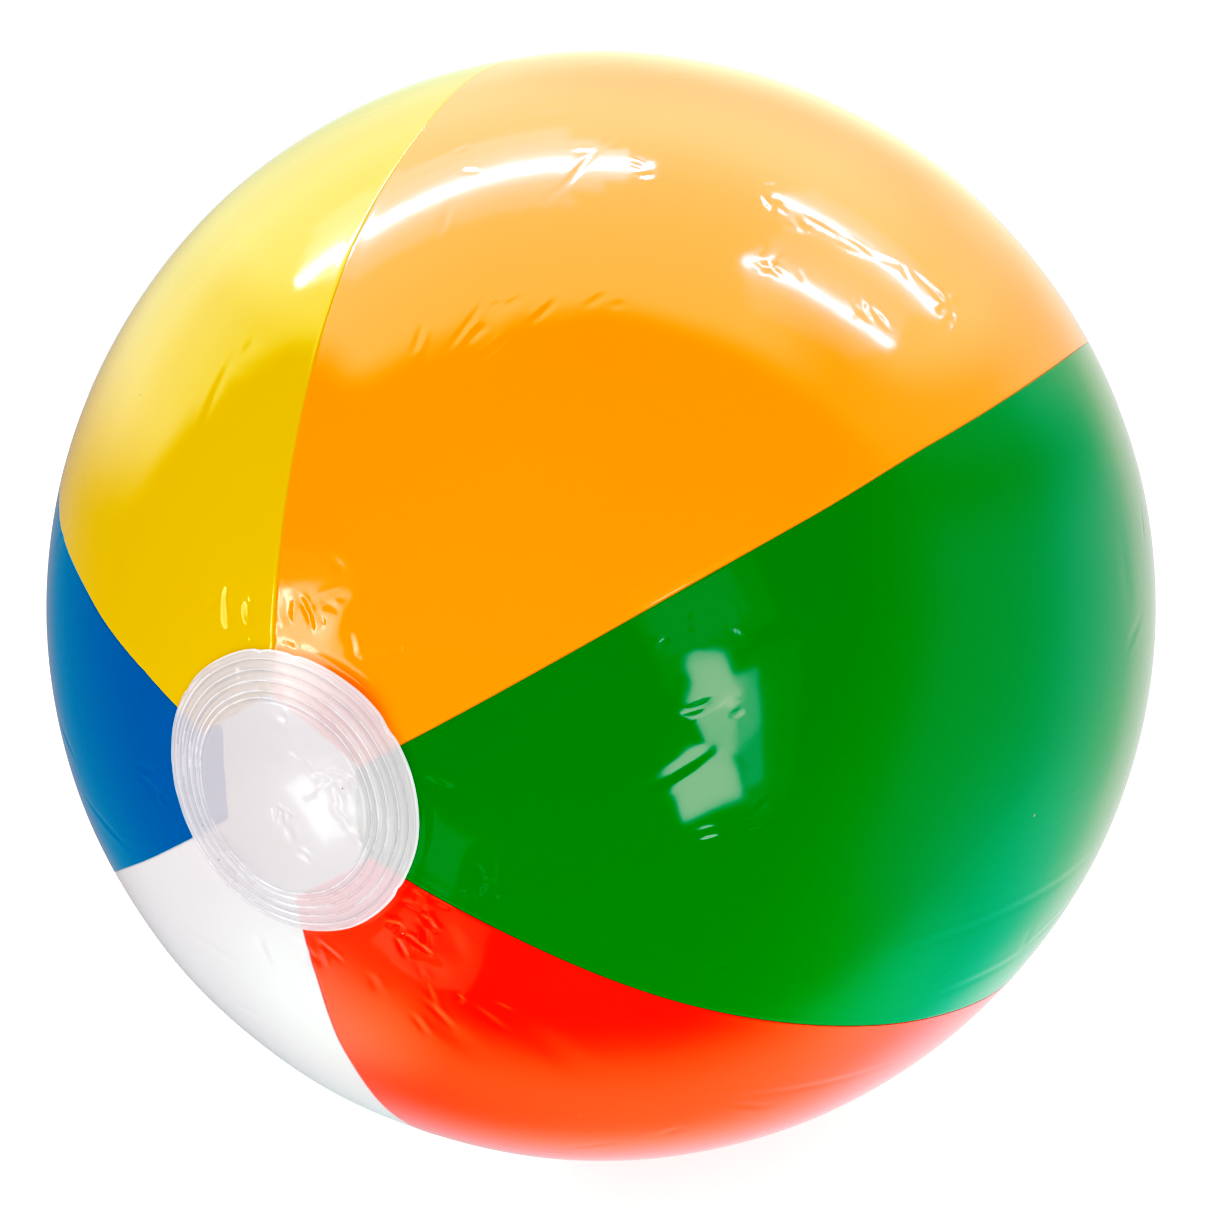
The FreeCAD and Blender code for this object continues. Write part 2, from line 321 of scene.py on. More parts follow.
def all_dents():
    """The dents above, and soft ones strewn over the whole ball."""
    for middle, length, width, heading, depth in DENTS:
        yield place(*middle), length, width, heading, depth
    for _ in range(60):
        length = draw(14, 50)
        yield (
            random_place(), length, length * draw(0.3, 0.7),
            draw(0, 180), draw(-0.10, 0.12),
        )


CREASE_LIST = list(all_creases())
DENT_LIST = list(all_dents())

# Long low waves: (wave vector per metre, phase, height in mm).
WAVES = [
    (random_place() * draw(60, 150), draw(0, 6.28), draw(0.02, 0.05))
    for _ in range(10)
]

# The angles around, in radians, where a disc's edge presses the gores in most, and where the
# painted shade along a disc's edge is darkest.
PRESSED_AT = 0.9
EDGE_SHADE_AT = 0.95


def relief_at(spots):
    """How far the film stands out from the plain ball, in metres, at unit vectors.

    The film is pressed down along the edge of a disc, and has no relief well under it."""
    relief = np.zeros(len(spots))
    for wave, phase, height in WAVES:
        relief += height * MM * np.sin(spots @ (wave * BALL) + phase)
    for crease in CREASE_LIST:
        add_crease(relief, spots, *crease)
    for dent in DENT_LIST:
        add_dent(relief, spots, *dent)
    off_axis = BALL * np.hypot(spots[:, 0], spots[:, 2])
    around = np.arctan2(spots[:, 2], spots[:, 0])
    from_edge = (off_axis - disc_edge(around)) / MM
    pressed = 0.05 + 0.18 * (0.5 + 0.5 * np.cos(around - PRESSED_AT)) ** 2
    relief -= pressed * MM * np.exp(-((from_edge - 1.0) / 1.5) ** 2)
    calm = smooth_step(from_edge / 3 + 0.6)
    return relief * calm


# Gores ----------------------------------

# How far each seam strays from its straight line, in mm towards a larger angle,
# at polar angles in degrees. Both gores of a seam share it.
SEAM_STRAY = {
    "green_orange": [(12, -1.9), (40, -0.9), (52, 0.1), (80, 2.0), (130, 0)],
    "orange_yellow": [(15, 0.1), (38, 0), (52, -1.2), (66, 0), (120, 0.8), (150, 0)],
    "yellow_blue": [(12, 0), (24, 1.8), (38, 4.5), (80, 1), (140, 0)],
    "blue_white": [(15, -1.4), (28, -2), (70, 0.5), (150, 0)],
    "white_red": [(14, 0.2), (24, -1.7), (38, -4), (90, 0), (150, 0)],
    "red_green": [(15, 1.5), (30, 0.6), (55, 2.8), (90, 1), (150, 0)],
}
GORES = ["green", "orange", "yellow", "blue", "white", "red"]

# How far from the pole each gore is cut off, in mm: at the front disc, and at the valve.
GORE_ENDS = {
    "green": (20, 18), "orange": (21, 17), "yellow": (22, 18),
    "blue": (16, 18), "white": (21, 17), "red": (22, 18),
}


def seam_angle(index, polar):
    """The angle around, in radians, of the seam before gore number index."""
    before, after = GORES[index - 1], GORES[index % 6]
    stray = knots(np.degrees(polar), SEAM_STRAY[f"{before}_{after}"]) * MM
    straight = math.radians(FIRST_SEAM + (index - 1) * SEAM_SPAN)
    return straight + stray / (BALL * np.sin(polar))


# Nicks in the edge of a disc: (angle around in degrees, depth in mm).
DISC_NICKS = [(34, 0.3), (37, 0.25), (82, 0.3), (97, 0.3), (-32, 0.3), (140, 0.25), (-120, 0.3)]


def disc_radius(around):
    """The radius of an end disc, which was cut and placed by hand, without its nicks."""
    turn = np.asarray(around)
    wave = 0.50 * np.cos(turn - 1.0) + 0.40 * np.cos(3 * (turn - 0.35))
    ripple = 0.08 * np.cos(7 * turn + 0.5) + 0.05 * np.cos(13 * turn + 2)
    return DISC + (wave + ripple) * MM


def disc_nick(around):
    """How deep the edge of an end disc is nicked, in metres."""
    return MM * sum(
        depth * np.exp(-((np.sin((around - math.radians(where)) / 2) / 0.018) ** 2))
        for where, depth in DISC_NICKS
    )


def disc_edge(around):
    """The outer radius of an end disc with its nicks, in metres."""
    return disc_radius(around) - disc_nick(around)


ROWS = 508
COARSE = 4  # the inside has one row and column for so many of the outside
LAP_GAP = 0.05 * MM
TUCK = 0.45 * MM  # the width over which the film goes down to its lap

# Columns of a gore's grid, in mm: in its lap and just inside each of its two seams.
LAP_STEPS = (-5, -2.5, -0.4)
START_STEPS = (0, 0.15, 0.3, 0.5, 0.9, 1.5, 2.4, 3.5, 4.8)
END_STEPS = (4.8, 3.5, 2.4, 1.6, 1.0, 0.6, 0.25, 0)
PLAIN_COLUMNS = 153

# How far apart a gore's rows are, relative to each other, along its length: they are close
# near both ends and over the creased front.
ROW_GAPS = [(0, 0.55), (0.08, 0.8), (0.36, 0.85), (0.52, 1.9), (0.9, 1.7), (1, 0.6)]


def row_shares():
    """Where the rows lie, as shares of the way from the front end to the far end."""
    way = np.linspace(0, 1, 2001)
    passed = np.cumsum(1 / knots(way, ROW_GAPS))
    return np.interp(np.linspace(passed[0], passed[-1], ROWS + 1), passed, way)


def cut_end(end):
    """Polar angle of each column where a gore is cut off straight, end mm from the pole."""
    edge = math.radians(SEAM_SPAN / 2)
    low = np.full(len(LAP_STEPS + START_STEPS), -edge)
    high = np.full(len(END_STEPS), edge)
    for _ in range(8):
        low = -edge + np.array(LAP_STEPS + START_STEPS) * np.cos(low) / end
        high = edge - np.array(END_STEPS) * np.cos(high) / end
    plain = np.linspace(low[-1], high[0], PLAIN_COLUMNS + 2)[1:-1]
    return np.arcsin(end * MM / BALL / np.cos(np.concatenate([low, plain, high])))


def gore_surface(index):
    """The outside of one gore: unit vectors on a grid, and how far each is from both seams."""
    near_end, far_end = GORE_ENDS[GORES[index]]
    plain = np.linspace(0, 1, PLAIN_COLUMNS + 2)[1:-1]
    shares = np.concatenate([
        np.zeros(len(LAP_STEPS + START_STEPS)), plain, np.ones(len(END_STEPS)),
    ])
    first, last = cut_end(near_end), math.pi - cut_end(far_end)
    polar = first + (last - first) * row_shares()[:, None]
    start, end = seam_angle(index, polar), seam_angle(index + 1, polar)
    turn = MM / (BALL * np.sin(polar))
    low, high = start + START_STEPS[-1] * turn, end - END_STEPS[0] * turn
    around = low + (high - low) * shares
    for column, step in enumerate(LAP_STEPS + START_STEPS):
        around[:, column] = (start + step * turn)[:, column]
    for column, step in enumerate(END_STEPS, start=-len(END_STEPS)):
        around[:, column] = (end - step * turn)[:, column]
    return direction(around, polar), (around - start) / turn * MM, (end - around) / turn * MM


def gore_heights(spots, from_start, from_end):
    """Heights above the plain ball. The lap is tucked under the gore before it, and the film
    swells a little along both seams."""
    height = relief_at(spots.reshape(-1, 3)).reshape(from_start.shape)
    height -= (FILM + LAP_GAP) * (1 - smooth_step(from_start / TUCK))
    height += 0.04 * MM * np.exp(-((from_start - 1.4 * MM) / (0.9 * MM)) ** 2)
    height += 0.03 * MM * np.exp(-((from_end - 0.5 * MM) / (0.8 * MM)) ** 2)
    return height


def edge_shade_at(spots):
    """How much painted shade darkens the film along the edge of an end disc, from 0 to 1; it is
    darkest at one angle around.
    """
    around = np.arctan2(spots[..., 2], spots[..., 0])
    from_edge = (BALL * np.hypot(spots[..., 0], spots[..., 2]) - disc_edge(around)) / MM
    side = np.exp(-((around - EDGE_SHADE_AT) / 0.42) ** 2)
    return (0.15 + 0.85 * side) * np.exp(-(np.maximum(from_edge, 0) / (0.8 + 2.2 * side)) ** 2)


def grid_faces(rows, columns, offset, flip):
    """Quads of a grid of points numbered row by row."""
    row, column = np.mgrid[0:rows - 1, 0:columns - 1]
    corner = offset + row * columns + column
    quads = np.stack([corner, corner + 1, corner + columns + 1, corner + columns], axis=-1)
    quads = quads.reshape(-1, 4)
    return (quads[:, ::-1] if flip else quads).tolist()


def rim(rows, columns):
    """Row and column of each point along the border of a grid, all the way round."""
    border = [(0, c) for c in range(columns - 1)]
    border += [(r, columns - 1) for r in range(rows - 1)]
    border += [(rows - 1, c) for c in range(columns - 1, 0, -1)]
    border += [(r, 0) for r in range(rows - 1, 0, -1)]
    return border


def gore_mesh(index):
    """A closed thin shell: a fine outside, a coarse inside and an edge between them."""
    spots, from_start, from_end = gore_surface(index)
    height = gore_heights(spots, from_start, from_end)
    rows, columns = height.shape
    outside = spots * (BALL + height)[..., None]
    lowest = height.copy()
    for shift in (-2, -1, 1, 2):
        lowest = np.minimum(lowest, np.roll(height, shift, axis=0))
    inner_height = lowest[::COARSE, ::COARSE] - FILM
    inside = spots[::COARSE, ::COARSE] * (BALL + inner_height)[..., None]
    # It is pressed flat where it rests.
    outside[..., 2] = np.maximum(outside[..., 2], REST_LEVEL)
    inside[..., 2] = np.maximum(inside[..., 2], REST_LEVEL + FILM)
    few_rows, few_columns = inner_height.shape
    points = np.concatenate([outside.reshape(-1, 3), inside.reshape(-1, 3)])
    faces = grid_faces(rows, columns, 0, flip=False)
    inner = grid_faces(few_rows, few_columns, rows * columns, flip=True)
    inner_range = range(len(faces), len(faces) + len(inner))
    faces += inner
    fine = [r * columns + c for r, c in rim(rows, columns)]
    coarse = [rows * columns + r * few_columns + c for r, c in rim(few_rows, few_columns)]
    for k, corner in enumerate(coarse):
        after = coarse[(k + 1) % len(coarse)]
        stretch = [fine[(k * COARSE + j) % len(fine)] for j in range(COARSE + 1)]
        faces.append([corner, after] + stretch[::-1])
    # How strongly painted shade darkens each point, near the edges of the end discs.
    edge_shade = np.concatenate([edge_shade_at(spots).reshape(-1), np.zeros(inner_height.size)])
    return points, faces, inner_range, edge_shade


# End discs ------------------------------

# Weld rings of an end disc: (share of its radius, depth in mm, half width in mm).
RINGS = [
    (0.930, 0.34, 0.30), (0.862, 0.32, 0.28), (0.792, 0.34, 0.28),
    (0.725, 0.36, 0.30), (0.682, 0.16, 0.28),
]
RINGED = 0.66  # the share of the radius that the rings stay outside of
RING_STEP = 0.15 * MM  # between rows of the mesh outside that share
MIDDLE_ROWS = 46  # inside it
DISC_TURNS = 360
DISC_LIFT = 0.05 * MM
UNDER_STEP = 7  # the underside has one row for so many of the top
DISC_FILM = 0.35 * MM
DISC_RIM = 0.42 * MM  # the width of the bright rim
DISC_HOLE = 7.5 * MM

# Folds in the front disc: (x, z, x, z, depth, half width, bow), all in mm from its middle.
DISC_FOLDS = [
    (3, 12, 10, 7, 0.16, 1.0, 1.0),
    (9, 7, 15, 7.5, 0.20, 0.9, -0.4),
    (13, 8.4, 19, 8, 0.30, 0.7, 0.6),
    (18.5, 8.2, 20, 5.5, 0.30, 0.6, 0.5),
    (15.5, 7, 18.5, 3, 0.26, 0.6, 0.2),
    (14.5, 7, 10, 4.5, 0.22, 0.8, -0.4),
    (11, 5, 6, 2, 0.16, 1.1, 0.5),
    (14, 6, 15.5, -1, 0.18, 0.9, 0.6),
    (14, 2, 17.5, -2.5, 0.20, 0.8, -0.5),
    (16, -1, 18.2, -5, 0.16, 0.9, 0.4),
    (18, -5, 22, -7.5, 0.16, 0.9, -0.4),
    (22, -8.3, 24, -9.8, 0.22, 0.5, 0.2),
    (-2.2, -2.2, 1.6, -3.5, 0.26, 0.6, 0.3),
    (-0.2, -3.4, 1.4, -5.6, 0.24, 0.6, -0.3),
    (-1, -2.6, -1.6, -5, 0.20, 0.5, 0.2),
    (1.6, -3.6, 3.4, -3, 0.14, 0.6, 0.2),
    (0.5, -5, 2.6, -11, 0.10, 1.2, 0.8),
    (3.2, -12.6, 7.6, -14.3, 0.20, 0.7, 0.5),
    (0.6, 20.6, 3.6, 18.9, 0.14, 0.8, 0.4),
    (-4, 17.5, 4, 14.5, 0.08, 1.6, 0.8),
    (5, 16, 12, 12, 0.08, 1.8, 0.8),
    (-10, 8, -3, 1, 0.05, 2.0, 1.0),
]

# Dents in the front disc: (x, z, length, width, heading in degrees, depth), as above.
DISC_DENTS = [
    (17, 6.6, 4.5, 3.0, 0, 0.20),
    (0, -3.5, 4.0, 3.0, 0, 0.18),
    (9, -2, 16, 10, 40, -0.12),
    (18, -3, 10, 5, 0, 0.10),
    (-8, -10, 26, 14, 20, 0.08),
]


def on_disc(x, z, towards=-1):
    """The unit vector of a place on an end disc, in mm from its middle."""
    x, z = x * MM / BALL, z * MM / BALL
    return np.array([x, towards * math.sqrt(1 - x * x - z * z), z])


def ring_place(around, off_axis, towards):
    """The unit vector of a place on an end disc, off_axis mm from its middle."""
    return on_disc(off_axis * math.cos(around), off_axis * math.sin(around), towards)


def disc_creases(towards):
    """Folds of the front disc, or creases round the valve, and small puckers of both."""
    if towards < 0:
        for x0, z0, x1, z1, depth, width, bow in DISC_FOLDS:
            yield on_disc(x0, z0), on_disc(x1, z1), depth, width, bow
    else:
        for _ in range(18):
            around = draw(0, 2 * math.pi)
            yield (
                ring_place(around, draw(14.5, 17), towards),
                ring_place(around + random.normal(0, 0.1), draw(18, 23), towards),
                draw(0.05, 0.16), draw(0.7, 1.3), draw(-0.6, 0.6),
            )
    for _ in range(26):
        around, middle = draw(0, 2 * math.pi), draw(24, 33)
        reach = draw(0.7, 2)
        yield (
            ring_place(around, middle - reach, towards),
            ring_place(around + random.normal(0, 0.02), middle + reach, towards),
            draw(0.04, 0.14), draw(0.4, 0.8), draw(-0.3, 0.3),
        )


def from_ring(share, around, edge, ring, width):
    """How far a place on a disc is from the middle of a weld ring, in half widths."""
    wander = 0.024 * (np.sin(around - 2.2) + 0.5 * np.sin(3 * around + 1))
    return (share - ring - wander * (1 - ring)) * edge / (width * MM)


def disc_finish(mesh):
    """The material of each face of a disc: milky film; the whiter rim film, on its rim and as a
    painted highlight band just outside each weld ring; or the darker weld film, as painted
    shade in the middle of each ring's groove.
    """
    centre = np.zeros(len(mesh.polygons) * 3)
    mesh.polygons.foreach_get("center", centre)
    x, _, z = centre.reshape(-1, 3).T
    around = np.arctan2(z, x)
    off_axis, edge = np.hypot(x, z), disc_radius(around)
    share = off_axis / edge
    finish = np.where(off_axis > edge - disc_nick(around) - DISC_RIM, 1, 0)
    for ring, _, width in RINGS:
        away = from_ring(share, around, edge, ring, width)
        # Painted shade in the middle of each groove, and a painted highlight band just outside
        # it.
        finish[np.abs(away) < 0.5] = 2
        finish[(away > 0.9) & (away < 1.8)] = 1
    return finish


def weld_rings(share, around, edge):
    """Pressed grooves with a low shoulder on both sides, and the disc's thick wavy rim."""
    height = np.zeros(share.shape)
    uneven = 1 + 0.25 * np.sin(2 * around + 0.7) + 0.2 * np.sin(5 * around)
    for ring, depth, width in RINGS:
        away = from_ring(share, around, edge, ring, width)
        groove = np.exp(-away ** 2) - 0.35 * np.exp(-((np.abs(away) - 2) ** 2))
        height -= depth * MM * uneven * groove
    inside = (1 - share) * edge / MM
    ripple = np.sin(17 * around + 1) * np.sin(5 * around) + 0.6 * np.sin(29 * around + 2)
    height += (0.24 + 0.08 * ripple) * MM * np.exp(-((inside - 0.8) / 0.5) ** 2)
    height -= 0.22 * MM * (1 - smooth_step(inside / 0.4))
    return height


def valve_weld(off_axis, around):
    """The band where the valve's ring is welded on below, pressed in a fine knurl."""
    start, end, soft = 8.2, 13.4, 0.5
    band = smooth_step((off_axis - start) / soft) * smooth_step((end - off_axis) / soft)
    knurl = np.sin(96 * around) * np.sin(math.pi * (off_axis - start) / 0.65)
    return -band * (0.14 + 0.04 * knurl) * MM


def disc_mesh(towards, hole=0.0):
    """A round cap of film with its weld rings, closed below, with a hole if one is given."""
    ringed = np.arange(1, RINGED, -RING_STEP / DISC)
    middle = np.linspace(ringed[-1], max(hole / DISC, 0.01), MIDDLE_ROWS)[1:]
    turn = np.linspace(0, 2 * math.pi, DISC_TURNS, endpoint=False)
    share, around = np.meshgrid(np.concatenate([ringed, middle]), turn, indexing="ij")
    edge = disc_radius(around)
    # The waves of the edge reach far in, and its nicks only a little.
    off_axis = share * DISC + share ** 4 * (edge - DISC) - share ** 60 * disc_nick(around)
    spots = direction(around, np.arcsin(off_axis / BALL)) * np.array([1, -towards, 1])
    height = weld_rings(share, around, edge)
    if hole:
        height += valve_weld(off_axis / MM, around)
    flat = height.reshape(-1)
    for start, end, depth, width, bow in disc_creases(towards):
        add_crease(flat, spots.reshape(-1, 3), start, end, depth, width, bow)
    if towards < 0:
        for x, z, length, width, heading, depth in DISC_DENTS:
            add_dent(flat, spots.reshape(-1, 3), on_disc(x, z), length, width, heading, depth)
    top = spots * (BALL + DISC_LIFT + DISC_FILM + np.maximum(height, -0.3 * MM))[..., None]
    under = spots[[*range(0, len(spots) - 1, UNDER_STEP), -1]] * (BALL + DISC_LIFT)
    return stacked_rings([*under[::-1], *top], closed=bool(hole), outward=towards < 0)


def stacked_rings(rings, closed, outward=True):
    """A skin over rings of points: closed into a loop, or with a point in the end rings."""
    turns = len(rings[0])
    points = np.concatenate(rings)
    faces = []
    for row in range(len(rings) if closed else len(rings) - 1):
        low, high = row * turns, (row + 1) % len(rings) * turns
        for k in range(turns):
            after = (k + 1) % turns
            faces.append([low + k, low + after, high + after, high + k])
    if not closed:
        last = len(points) - turns
        tips = [points[:turns].mean(axis=0), points[last:].mean(axis=0)]
        for k in range(turns):
            after = (k + 1) % turns
            faces.append([after, k, len(points)])
            faces.append([last + k, last + after, len(points) + 1])
        points = np.concatenate([points, tips])
    return points, faces if outward else [face[::-1] for face in faces]


# Valve ----------------------------------

# Levels along the ball's axis, in mm.
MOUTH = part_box("valve_stem")[1].y / MM
STEM_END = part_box("valve_stem")[0].y / MM
FLANGE_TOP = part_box("valve_flange")[1].y / MM
PLUG_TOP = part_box("plug")[1].y / MM
FLANGE_UNDER = FLANGE_TOP - 0.8
SKIRT_END = FLANGE_TOP - 6.86

# Radii from the ball's axis, in mm.
BORE = 3.2
SEAT = 3.9
TUBE = 5
LIP = 6.2
COLLAR = 7.4
FLANGE = 14
FLAP = 4.3

HINGE = (12.4, MOUTH + 0.4)  # of the strap: how far from the axis, and its level
STRAP = 0.6


def rounded(corners, radius, steps=4):
    """The corners of a closed outline, each rounded off by a radius, in mm."""
    outline = []
    for k, corner in enumerate(corners):
        here = Vector(corner)
        before = Vector(corners[k - 1]) - here
        after = Vector(corners[(k + 1) % len(corners)]) - here
        first = here + before.normalized() * min(radius, before.length * 0.48)
        last = here + after.normalized() * min(radius, after.length * 0.48)
        for t in np.linspace(0, 1, steps + 1):
            outline.append(first * (1 - t) ** 2 + here * 2 * t * (1 - t) + last * t * t)
    return outline


def divided(outline, longest):
    """A closed outline with no step longer than a length in mm."""
    result = []
    for k, start in enumerate(outline):
        end = outline[(k + 1) % len(outline)]
        count = max(1, math.ceil((end - start).length / longest))
        result += [start.lerp(end, j / count) for j in range(count)]
    return result


def lathe(outline, solid=False, turns=96):
    """A mesh turned about the ball's axis from an outline of (radius, level) in mm.

    The outline runs anticlockwise. A solid's outline starts and ends next to the axis."""
    angle = np.linspace(0, 2 * math.pi, turns, endpoint=False)
    rings = [
        np.stack([r * np.cos(angle), np.full(turns, level), r * np.sin(angle)], axis=-1) * MM
        for r, level in outline
    ]
    return stacked_rings(rings, closed=not solid, outward=False)


def stem_mesh():
    """The tube, with a lip at its mouth, a seat for the plug and a narrower bore."""
    return lathe(divided(rounded([
        (BORE, STEM_END), (4.3, STEM_END), (TUBE, STEM_END + 0.9), (TUBE, MOUTH - 1.4),
        (LIP, MOUTH - 1.4), (LIP, MOUTH), (4.3, MOUTH), (SEAT, MOUTH - 0.4),
        (SEAT, MOUTH - 6.2), (BORE, MOUTH - 6.5),
    ], 0.35), 1.5))


def flange_mesh():
    """A flat ring with two low ribs below, where it was pressed while it was welded."""
    top, under = FLANGE_TOP, FLANGE_UNDER
    return lathe(rounded([
        (COLLAR, under), (8.6, under - 0.06), (9.1, under - 0.25), (9.6, under - 0.1),
        (11.8, under - 0.2), (12.3, under - 0.42), (12.8, under - 0.26), (FLANGE, under - 0.36),
        (FLANGE, top - 0.37), (10.7, top - 0.17), (COLLAR, top),
    ], 0.25))


def skirt_mesh():
    """The thin collar and cone between the flange and the tube."""
    inside = COLLAR - 0.5
    return lathe(divided(rounded([
        (5.05, SKIRT_END - 1), (5.55, SKIRT_END - 1), (COLLAR, FLANGE_UNDER),
        (COLLAR, FLANGE_TOP), (inside, FLANGE_TOP), (inside, FLANGE_UNDER),
        (5.05, SKIRT_END),
    ], 0.2), 0.3))


def plug_mesh():
    """A head with a dished top over a tapered nose with a hollow tip."""
    return lathe(rounded([
        (0.03, MOUTH - 4.6), (1.5, MOUTH - 4.6), (1.7, MOUTH - 5.6), (2.5, MOUTH - 5.6),
        (3.82, MOUTH - 0.6), (3.84, MOUTH + 0.05), (LIP, MOUTH + 0.05), (LIP, PLUG_TOP),
        (5.0, PLUG_TOP), (4.4, PLUG_TOP - 0.35), (0.03, PLUG_TOP - 0.35),
    ], 0.3), solid=True)


def strap_path():
    """Middle line of the strap: out from the lip, round the hinge and back to the head."""
    x, y = HINGE
    bend = 0.85
    path = [(x - 6.9 + 6.9 * t, y - bend) for t in np.linspace(0, 1, 14)]
    for t in np.linspace(0, math.pi, 22)[1:-1]:
        path.append((x + bend * math.sin(t), y - bend * math.cos(t)))
    path += [(x - 7.2 * t, y + bend) for t in np.linspace(0, 1, 14)]
    return np.array(path)


def strap_mesh():
    """A flat strap with rounded edges, wide at the lip and narrow where it bends."""
    path = strap_path()
    step = np.gradient(path, axis=0)
    step /= np.linalg.norm(step, axis=1)[:, None]
    out = np.stack([step[:, 1], -step[:, 0]], axis=-1)
    run = np.linspace(0, 1, len(path))
    half_width = knots(run, [(0, 2.6), (0.28, 1.5), (0.5, 1.3), (0.72, 1.3), (1, 1.6)])
    thick = STRAP / 2
    rings = []
    for point, normal, half in zip(path, out, half_width):
        corners = [(-half, -thick), (half, -thick), (half, thick), (-half, thick)]
        ring = [
            (point[0] + normal[0] * rise, point[1] + normal[1] * rise, side)
            for side, rise in rounded(corners, 0.25)
        ]
        rings.append(np.array(ring) * MM)
    return stacked_rings(rings, closed=False)


def flap_mesh():
    """A thin round flap with a short tab."""
    tab = [(-4.7, 1.5), (-5.1, 1.35), (-5.2, 0.8), (-5.2, -0.8), (-5.1, -1.35), (-4.7, -1.5)]
    gap = math.asin(1.5 / FLAP)
    turn = np.linspace(-math.pi + gap, math.pi - gap, 60)
    outline = np.array([(FLAP * math.cos(t), FLAP * math.sin(t)) for t in turn] + tab)
    low = STEM_END - 0.6
    rings = []
    for level, size in ((low, 0.96), (low + 0.1, 1), (low + 0.4, 1), (low + 0.5, 0.96)):
        rings.append(np.stack([
            outline[:, 0] * size, np.full(len(outline), level), outline[:, 1] * size,
        ], axis=-1) * MM)
    return stacked_rings(rings, closed=False, outward=False)


# Objects --------------------------------

SHARP = math.radians(50)


def new_piece(name, points, faces, material, body, slot, replaced):
    """A mesh piece that stands for a CAD node and rides on a body, if one is given."""
    mesh = bpy.data.meshes.new(name)
    mesh.from_pydata(np.asarray(points).tolist(), [], faces)
    mesh.validate()
    mesh.polygons.foreach_set("use_smooth", np.ones(len(mesh.polygons), bool))
    mesh.set_sharp_from_angle(angle=SHARP)
    mesh.materials.append(material)
    piece = bpy.data.objects.new(name, mesh)
    bpy.context.scene.collection.objects.link(piece)
    if body:
        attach(piece, body)
    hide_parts(replaced)
    return piece


# Shader nodes ---------------------------

class Tree:
    """Short calls for the nodes of a material or of the world."""

    def __init__(self, owner):
        owner.use_nodes = True
        self.nodes, self.links = owner.node_tree.nodes, owner.node_tree.links

    def join(self, source, target):
        """Links a socket to an input, or sets the input to a value."""
        if isinstance(source, bpy.types.NodeSocket):
            self.links.new(source, target)
        else:
            target.default_value = source

    def node(self, kind, inputs=(), **settings):
        """A new node with its settings and its inputs, which are (name or number, source)."""
        item = self.nodes.new(f"ShaderNode{kind}")
        for name, value in settings.items():
            setattr(item, name, value)
        for name, source in inputs:
            self.join(source, item.inputs[name])
        return item

    def where(self, kind):
        """Each place on an object, or the direction of each ray to the world."""
        return self.node("TexCoord").outputs[kind]

    def noise(self, where, scale, detail):
        inputs = [("Vector", where), ("Scale", scale), ("Detail", detail)]
        return self.node("TexNoise", inputs).outputs["Fac"]

    def mix(self, factor, first, second):
        """A colour between two colours."""
        inputs = [("Factor", factor), ("A", first), ("B", second)]
        return self.node("Mix", inputs, data_type="RGBA").outputs["Result"]

    def step(self, value, start, end, low=0.0, high=1.0, kind="SMOOTHSTEP"):
        """From low to high as the value goes from start to end."""
        inputs = [
            ("Value", value), ("From Min", start), ("From Max", end),
            ("To Min", low), ("To Max", high),
        ]
        return self.node("MapRange", inputs, interpolation_type=kind).outputs["Result"]

    def maths(self, operation, first, second):
        return self.node("Math", enumerate((first, second)), operation=operation).outputs[0]

    def product(self, *values):
        result = values[0]
        for value in values[1:]:
            result = self.maths("MULTIPLY", result, value)
        return result

    def dot(self, first, second):
        item = self.node("VectorMath", enumerate((first, second)), operation="DOT_PRODUCT")
        return item.outputs["Value"]


# Materials ------------------------------

def new_material(name):
    """A material, the tree of its nodes and its shader."""
    material = bpy.data.materials.new(name)
    tree = Tree(material)
    return material, tree, tree.nodes["Principled BSDF"]


def set_inputs(shader, **values):
    """Sets inputs of a shader, whose names are written with _ for a space."""
    for name, value in values.items():
        shader.inputs[name.replace("_", " ")].default_value = value


def opaque(colour):
    return *colour, 1


def dusty(tree, where, colour, dust, scale, core, edge):
    """A colour with specks of dust, solid in the core and gone at the edge of each."""
    cells = tree.node("TexVoronoi", [("Vector", where), ("Scale", scale)])
    speck = tree.step(cells.outputs["Distance"], core, edge, 1, 0, "LINEAR")
    return tree.mix(speck, colour, opaque(dust))


def rippled(tree, where, scale, height):
    """The direction that a surface with very fine ripples faces."""
    inputs = [("Strength", 0.25), ("Distance", height), ("Height", tree.noise(where, scale, 2))]
    return tree.node("Bump", inputs).outputs["Normal"]


def film_material(name, colour, deeper, gloss_tint, gloss=1.56):
    """Pigmented PVC film: glossy, with faint mottling, fine ripples, a little dust, and painted
    shade along the edges of the end discs.
    """
    material, tree, shader = new_material(name)
    where = tree.where("Object")
    mottled = tree.mix(tree.noise(where, 14, 3), opaque(colour), opaque(deeper))
    red, green, blue = colour
    # Painted shade: the colour is darkened along the edges of the end discs, most on one side.
    edge_shaded = tree.mix(
        tree.node("Attribute", attribute_name="edge_shade").outputs["Fac"],
        mottled, (0.95 * red, 0.5 * green, 0.7 * blue, 1),
    )
    dusted = dusty(tree, where, edge_shaded, (0.35, 0.2, 0.12), 38, 0.010, 0.016)
    rough = tree.step(tree.noise(where, 30, 4), 0.2, 0.8, 0.05, 0.12, "LINEAR")
    tree.join(dusted, shader.inputs["Base Color"])
    tree.join(rough, shader.inputs["Roughness"])
    tree.join(rippled(tree, where, 120, 0.06 * MM), shader.inputs["Normal"])
    set_inputs(shader, IOR=gloss, Specular_Tint=opaque(gloss_tint))
    return material


